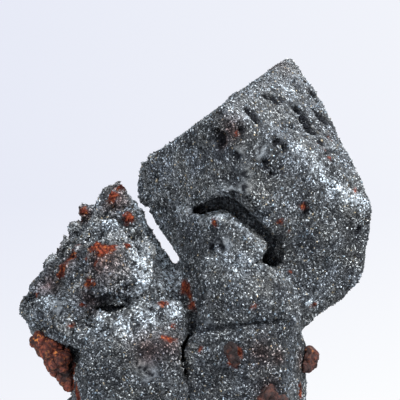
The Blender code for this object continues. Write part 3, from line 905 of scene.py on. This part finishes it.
def cluster_skin(node, finish, rng, box):
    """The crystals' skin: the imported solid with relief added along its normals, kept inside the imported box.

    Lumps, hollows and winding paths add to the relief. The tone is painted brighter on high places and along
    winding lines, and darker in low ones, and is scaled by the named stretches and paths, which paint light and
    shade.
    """
    places, normals, faces = read_mesh(even_skin(node, SKIN_CELL, SKIN_WEAR))
    tree = surface_tree(places, faces)
    ragged = ragged_places(places)
    masks = skin_masks(places, normals, ragged, tree, rng)
    relief = relief_of(places, masks)
    swells = cast_spots(tree, [spot[:3] for spot in SWELLS])
    swells += hidden_seeds(places, normals, rng, HIDDEN_SWELLS)
    heights = [spot[3] for spot in SWELLS]
    heights += list(rng.uniform(-HIDDEN_SWELL_HEIGHT, HIDDEN_SWELL_HEIGHT, HIDDEN_SWELLS.count))
    broad = swell_of(ragged, swells, heights)
    # Painted light and shade: the named stretches and the paths' tone factors, and painted shade in the pits.
    shade = shade_of(places, cast_spots(tree, [spot[:3] for spot in PAINTED_SHADING_AND_PATCHES]), [spot[3] for spot in PAINTED_SHADING_AND_PATCHES])
    for path in PATHS:
        follow = near(ragged, cast_spots(tree, spots_along(path.points, path.radius)))
        broad += path.height * follow
        shade *= 1.0 + (path.tone - 1.0) * follow
        masks["frost"] = np.maximum(masks["frost"], path.frost * follow)
    shade *= along(PAINTED_SHADE_IN_PITS, masks["pits"])
    masks["shade"] = shade * along(PAINTED_SHADE_BY_HEIGHT, relief)
    line = winding_lines(places, SKIN_LINES)
    tone = along(PAINTED_SKIN_SHADE_BY_HEIGHT, relief) * along(TONE_BY_LINE, line)
    fleck = SMOOTH_TONE + SMOOTH_FLECKS.height * waves(places, SMOOTH_FLECKS)
    fleck -= SMOOTH_CRACKS.height * worms(places, SMOOTH_CRACKS)
    attributes = {
        "tone": (tone * (1.0 - masks["smooth"]) + fleck * masks["smooth"]) * shade,
        "frost": SKIN_HIGHLIGHT * masks["frost"] * line,
        "stain": STAIN_STRENGTH * masks["stain"],
        "rust": masks["rust"],
        "even": SKIN_EVEN * masks["smooth"],
        "kind": np.zeros(len(places)),
    }
    level = np.clip(places[:, 2] / RELIEF_FULL_ABOVE, 0.0, 1.0)
    raised = np.clip(places + normals * ((relief + broad) * level)[:, None], box[0], box[1])
    return new_piece("hematite_skin", raised, faces, finish, attributes), raised, faces, masks


def octahedron():
    """The six tips and eight outward faces of a unit octahedron."""
    tips = np.array([(1, 0, 0), (-1, 0, 0), (0, 1, 0), (0, -1, 0), (0, 0, 1), (0, 0, -1)], float)
    faces = [(0, 2, 4), (2, 1, 4), (1, 3, 4), (3, 0, 4), (2, 0, 5), (1, 2, 5), (3, 1, 5), (0, 3, 5)]
    return tips, np.array(faces)


def turns_of(fours):
    """Rotations as 3 by 3 matrices, from four-number turns scaled to length one."""
    w, x, y, z = (fours / np.linalg.norm(fours, axis=1, keepdims=True)).T
    rows = [
        (1 - 2 * (y * y + z * z), 2 * (x * y - z * w), 2 * (x * z + y * w)),
        (2 * (x * y + z * w), 1 - 2 * (x * x + z * z), 2 * (y * z - x * w)),
        (2 * (x * z - y * w), 2 * (y * z + x * w), 1 - 2 * (x * x + y * y)),
    ]
    return np.stack([np.stack(row, axis=1) for row in rows], axis=1)


def lying_turns(outward, rng):
    """Rotations that lay an octahedron's face along the skin, spun at random and tilted by a small turn.

    The crystal's axes along and across its (1, 1, 1) face are carried on to the outward direction and two
    random directions square to it. The small turn adds normal draws times GRAIN_TILT to the turn that does
    nothing, and a share of loose grains is turned at random instead.
    """
    count = len(outward)
    ahead = np.cross(outward, rng.normal(size=(count, 3)))
    ahead /= np.linalg.norm(ahead, axis=1, keepdims=True)
    skin_axes = np.stack([ahead, np.cross(outward, ahead), outward], axis=2)
    face = np.array([1.0, 1.0, 1.0]) / math.sqrt(3.0)
    edge = np.array([1.0, -1.0, 0.0]) / math.sqrt(2.0)
    crystal_axes = np.stack([edge, np.cross(face, edge), face], axis=1)
    tilt = rng.normal(size=(count, 4)) * GRAIN_TILT
    tilt[:, 0] = 1.0
    loose = rng.random(count) < GRAINS_LOOSE
    tilt[loose] = rng.normal(size=(loose.sum(), 4))
    return turns_of(tilt) @ skin_axes @ crystal_axes.T


def grain_spots(places, faces, masks, rng):
    """Random places on the skin, each one's face number, and all the faces' outward directions.

    The places fall evenly by area, but fewer on smooth skin and in pits. Each lies at shares u and v along
    its face's sides.
    """
    corners = places[faces]
    across = np.cross(corners[:, 2] - corners[:, 0], corners[:, 3] - corners[:, 1])
    area = np.linalg.norm(across, axis=1)
    above_base = corners.mean(axis=1)[:, 2] > BASE_MARGIN
    wanted = area * (1.0 - FEWER_ON_SMOOTH * masks["smooth"]) * (1.0 - FEWER_IN_PITS * masks["pits"])
    wanted *= above_base
    chosen = rng.choice(len(faces), GRAINS, p=wanted / wanted.sum())
    u, v = rng.random((2, GRAINS, 1))
    quad = corners[chosen]
    spot = (quad[:, 0] * (1 - u) + quad[:, 1] * u) * (1 - v) + (quad[:, 3] * (1 - u) + quad[:, 2] * u) * v
    return spot, chosen, across / area[:, None]


def grain_reaches(left, smooth, rng):
    """Each grain's reach in mm: a lognormal draw, larger on the left crystal and smaller on smooth skin."""
    reach = np.clip(rng.lognormal(math.log(GRAIN_REACH), GRAIN_SPREAD, GRAINS), GRAIN_LEAST, GRAIN_MOST)
    return reach * (1.0 + LARGER_ON_LEFT * left - SMALLER_ON_SMOOTH * smooth)


def crystal_grains(places, faces, vertex_masks, finish, rng, box):
    """Tiny octahedra scattered over the skin, each sunk part of its reach, in pieces by height.

    A tip's tone is 1 - exp(-growth * light^power), where light is painted into the colour: brighter the
    further the tip stands out and along winding lines, which stand in for highlight streaks, scaled by the
    skin's painted light and shade, and at random from grain to grain.
    """
    face_masks = {label: mask[faces].mean(axis=1) for label, mask in vertex_masks.items()}
    spot, chosen, outwards = grain_spots(places, faces, face_masks, rng)
    masks = {label: mask[chosen] for label, mask in face_masks.items()}
    outward = outwards[chosen]
    reach = grain_reaches(masks["left"], masks["smooth"], rng)
    spot -= outward * (reach * rng.uniform(*GRAIN_SUNK, GRAINS))[:, None]
    tips, sides = octahedron()
    shape = tips[None] * rng.uniform(GRAIN_NARROW, GRAIN_LONG, (GRAINS, 1, 3)) * reach[:, None, None]
    offset = np.einsum("nij,nkj->nki", lying_turns(outward, rng), shape)
    solid = np.clip(spot[:, None] + offset, box[0], box[1])
    rise = np.einsum("nki,ni->nk", offset, outward) / reach[:, None]
    line = winding_lines(spot, GRAIN_LINES)
    # Painted light on the grains: random per grain, along the winding lines and under the skin's painted light
    # and shade.
    light = along(OWN_LIGHT, rng.random(GRAINS)) * along(LINE_LIGHT, line) * masks["shade"]
    light = np.clip(light[:, None] * along(PAINTED_TIP_LIGHT, rise), 0.0, 1.0)
    tone = 1.0 - np.exp(-TONE_GROWTH * light**TONE_POWER)
    frost = np.clip(masks["frost"] * along(HIGHLIGHT_BY_LINE, line), 0.0, 1.0) * (rng.random(GRAINS) < HIGHLIGHTED_SHARE)
    numbers = {
        "frost": frost,
        "stain": STAIN_STRENGTH * masks["stain"],
        "rust": np.clip(masks["rust"] * RUST_FULL - RUST_LOOSE * rng.random(GRAINS), 0.0, 1.0),
        "kind": rng.random(GRAINS),
        "even": GRAIN_EVEN * masks["smooth"],
    }
    order = np.argsort(-spot[:, 2], kind="stable")
    for label, batch in zip(GRAIN_BATCHES, np.array_split(order, len(GRAIN_BATCHES))):
        attributes = {name: np.repeat(values[batch], len(tips)) for name, values in numbers.items()}
        attributes["tone"] = tone[batch].ravel()
        first_tip = np.arange(len(batch))[:, None, None] * len(tips)
        grain_faces = (first_tip + sides[None]).reshape(-1, 3)
        piece = new_piece("grains_" + label, solid[batch].reshape(-1, 3), grain_faces, finish, attributes)
        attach(piece, "root")


def crust(name, node, finish, box):
    """A rust crust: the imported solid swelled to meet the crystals, with round lumps at three sizes.

    The flat patches stay lower and more ragged, and are darker than the nodules.
    """
    full = PATCH_RELIEF if "patch" in node.name else 1.0
    places, normals, faces = read_mesh(even_skin(node, CRUST_CELL, CRUST_WEAR))
    height = full * (CRUST_SWELL + raised_domes(places, CRUST_LOBES) + raised_domes(places, CRUST_LUMPS))
    ragged = PATCH_WAVES.height * waves(places, PATCH_WAVES) - PATCH_DROP
    height += raised_domes(places, CRUST_BEADS) + (1 - full) * ragged
    deep = CRUST_DEEP - DEEP_BY_HEIGHT * (height - CRUST_SWELL) * full + DEEP_ON_PATCH * (1 - full)
    deep = np.clip(deep, 0.0, 1.0)
    deep = np.where(places[:, 0] > KNOB_FROM, along(KNOB_DEEP, deep), deep)
    orange = near(places, cast_spots(surface_tree(places, faces), ORANGE_SPOTS))
    raised = np.clip(places + normals * height[:, None], box[0], box[1])
    piece = new_piece(name, raised, faces, finish, {"orange": orange, "deep": deep})
    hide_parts(node.name)
    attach(piece, "root")


def area_light(name, light):
    """A round area light turned towards the specimen, and hidden from the camera."""
    lamp = bpy.data.lights.new(name, "AREA")
    lamp.shape = "DISK"
    lamp.size = light.width
    lamp.energy = light.power
    lamp.color = light.colour
    holder = show(name, lamp)
    holder.location = light.place
    holder.rotation_euler = (Vector(LIGHT_TARGET) - Vector(light.place)).to_track_quat("-Z", "Y").to_euler()
    holder.visible_camera = False


def backdrop_group():
    """The backdrop's colour by direction: from the shaded to the lit tint, by shares across and down."""
    inputs = [("Direction", "NodeSocketVector", None)]
    group, given, made = group_with("backdrop_colour", inputs, [("Colour", "NodeSocketColor")])
    unit = add_node(group, "ShaderNodeVectorMath", {0: given.outputs["Direction"]}, operation="NORMALIZE")
    split = add_node(group, "ShaderNodeSeparateXYZ", {0: unit.outputs["Vector"]})
    across = ranged(group, split.outputs["X"], (-EDGE, EDGE), (0.0, LIT_ACROSS))
    down = ranged(group, split.outputs["Z"], (0.0, -EDGE), (0.0, LIT_BELOW))
    lit = calculated(group, "ADD", across, down)
    feed(group, made, {"Colour": mixed_colour(group, lit, PAPER_SHADED, PAPER_LIT)})
    return group


def studio_world(backdrop_colours):
    """A pale backdrop for the camera, and a dimmer, bluish surround for the light on the specimen."""
    world = bpy.data.worlds.new("studio")
    bpy.context.scene.world = world
    world.use_nodes = True
    tree = world.node_tree
    direction = add_node(tree, "ShaderNodeTexCoord").outputs["Generated"]
    height = add_node(tree, "ShaderNodeSeparateXYZ", {0: direction}).outputs["Z"]
    surround = tree.nodes["Background"]
    strength = ranged(tree, height, SURROUND_HEIGHTS, SURROUND_STRENGTHS)
    feed(tree, surround, {"Color": SURROUND, "Strength": strength})
    sky = add_node(tree, "ShaderNodeGroup", {"Direction": direction}, node_tree=backdrop_colours)
    backdrop = add_node(tree, "ShaderNodeBackground", {"Color": sky.outputs["Colour"]})
    seen = add_node(tree, "ShaderNodeLightPath").outputs["Is Camera Ray"]
    mix = add_node(tree, "ShaderNodeMixShader", {0: seen, 1: surround.outputs[0], 2: backdrop.outputs[0]})
    feed(tree, tree.nodes["World Output"], {"Surface": mix.outputs[0]})


def studio_floor(backdrop_colours):
    """A pale floor that takes the specimen's shadow and turns into the backdrop's colour further out."""
    floor = bmesh.new()
    bmesh.ops.create_grid(floor, x_segments=1, y_segments=1, size=FLOOR_REACH)
    bmesh.ops.translate(floor, vec=(0.0, 0.0, -FLOOR_DROP * MM), verts=floor.verts)
    mesh = bpy.data.meshes.new("floor")
    floor.to_mesh(mesh)
    floor.free()
    finish, tree, shader = new_finish("pale_floor")
    feed(tree, shader, {"Base Color": FLOOR_COLOUR, "Roughness": FLOOR_ROUGHNESS})
    place = own_place(tree)
    seen_inputs = {0: place, 1: CAMERA_PLACE}
    direction = add_node(tree, "ShaderNodeVectorMath", seen_inputs, operation="SUBTRACT").outputs["Vector"]
    sky = add_node(tree, "ShaderNodeGroup", {"Direction": direction}, node_tree=backdrop_colours)
    glow = add_node(tree, "ShaderNodeEmission", {"Color": sky.outputs["Colour"]})
    far = add_node(tree, "ShaderNodeVectorMath", {0: place}, operation="LENGTH").outputs["Value"]
    fade = ranged(tree, far, FLOOR_FADE, interpolation_type="SMOOTHSTEP")
    mix = add_node(tree, "ShaderNodeMixShader", {0: fade, 1: shader.outputs[0], 2: glow.outputs[0]})
    feed(tree, tree.nodes["Material Output"], {"Surface": mix.outputs[0]})
    mesh.materials.append(finish)
    show("floor", mesh)


def photo_camera():
    """The photograph's camera: level, straight in front, with a long lens."""
    data = bpy.data.cameras.new("photo_camera")
    data.lens = LENS
    data.sensor_width = SENSOR_WIDTH
    data.clip_start = NEAREST_SEEN
    data.clip_end = FARTHEST_SEEN
    camera = show("photo_camera", data)
    camera.location = CAMERA_PLACE
    camera.rotation_euler = (math.radians(90.0), 0.0, 0.0)
    bpy.context.scene.camera = camera


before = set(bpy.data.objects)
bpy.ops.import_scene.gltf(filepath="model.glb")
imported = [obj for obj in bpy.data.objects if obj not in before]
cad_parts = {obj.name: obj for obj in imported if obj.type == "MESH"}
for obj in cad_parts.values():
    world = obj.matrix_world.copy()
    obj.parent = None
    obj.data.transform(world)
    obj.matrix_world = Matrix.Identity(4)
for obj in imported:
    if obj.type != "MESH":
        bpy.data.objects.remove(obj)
cad_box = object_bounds()
photo_camera()

box = [np.array(corner) / MM for corner in cad_box]
rng = np.random.default_rng(SEED)
grit = grit_group()
rust = rust_group()
skin_finish = hematite_finish("hematite_skin", grit, rust, SKIN_STEEL)
grain_finish = hematite_finish("hematite_grains", grit, rust, GRAIN_STEEL)
skin, places, faces, masks = cluster_skin(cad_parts["hematite_cluster"], skin_finish, rng, box)
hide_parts("hematite_cluster")
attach(skin, "root")
crystal_grains(places, faces, masks, grain_finish, rng, box)
crust_paint = crust_finish(grit, rust)
for node_name in sorted(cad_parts):
    if node_name.startswith("rust_"):
        crust(node_name + "_crust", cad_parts[node_name], crust_paint, box)

backdrop_colours = backdrop_group()
studio_world(backdrop_colours)
studio_floor(backdrop_colours)
for light_name, light in LIGHTS.items():
    area_light(light_name, light)
bpy.context.scene.view_settings.view_transform = "Standard"
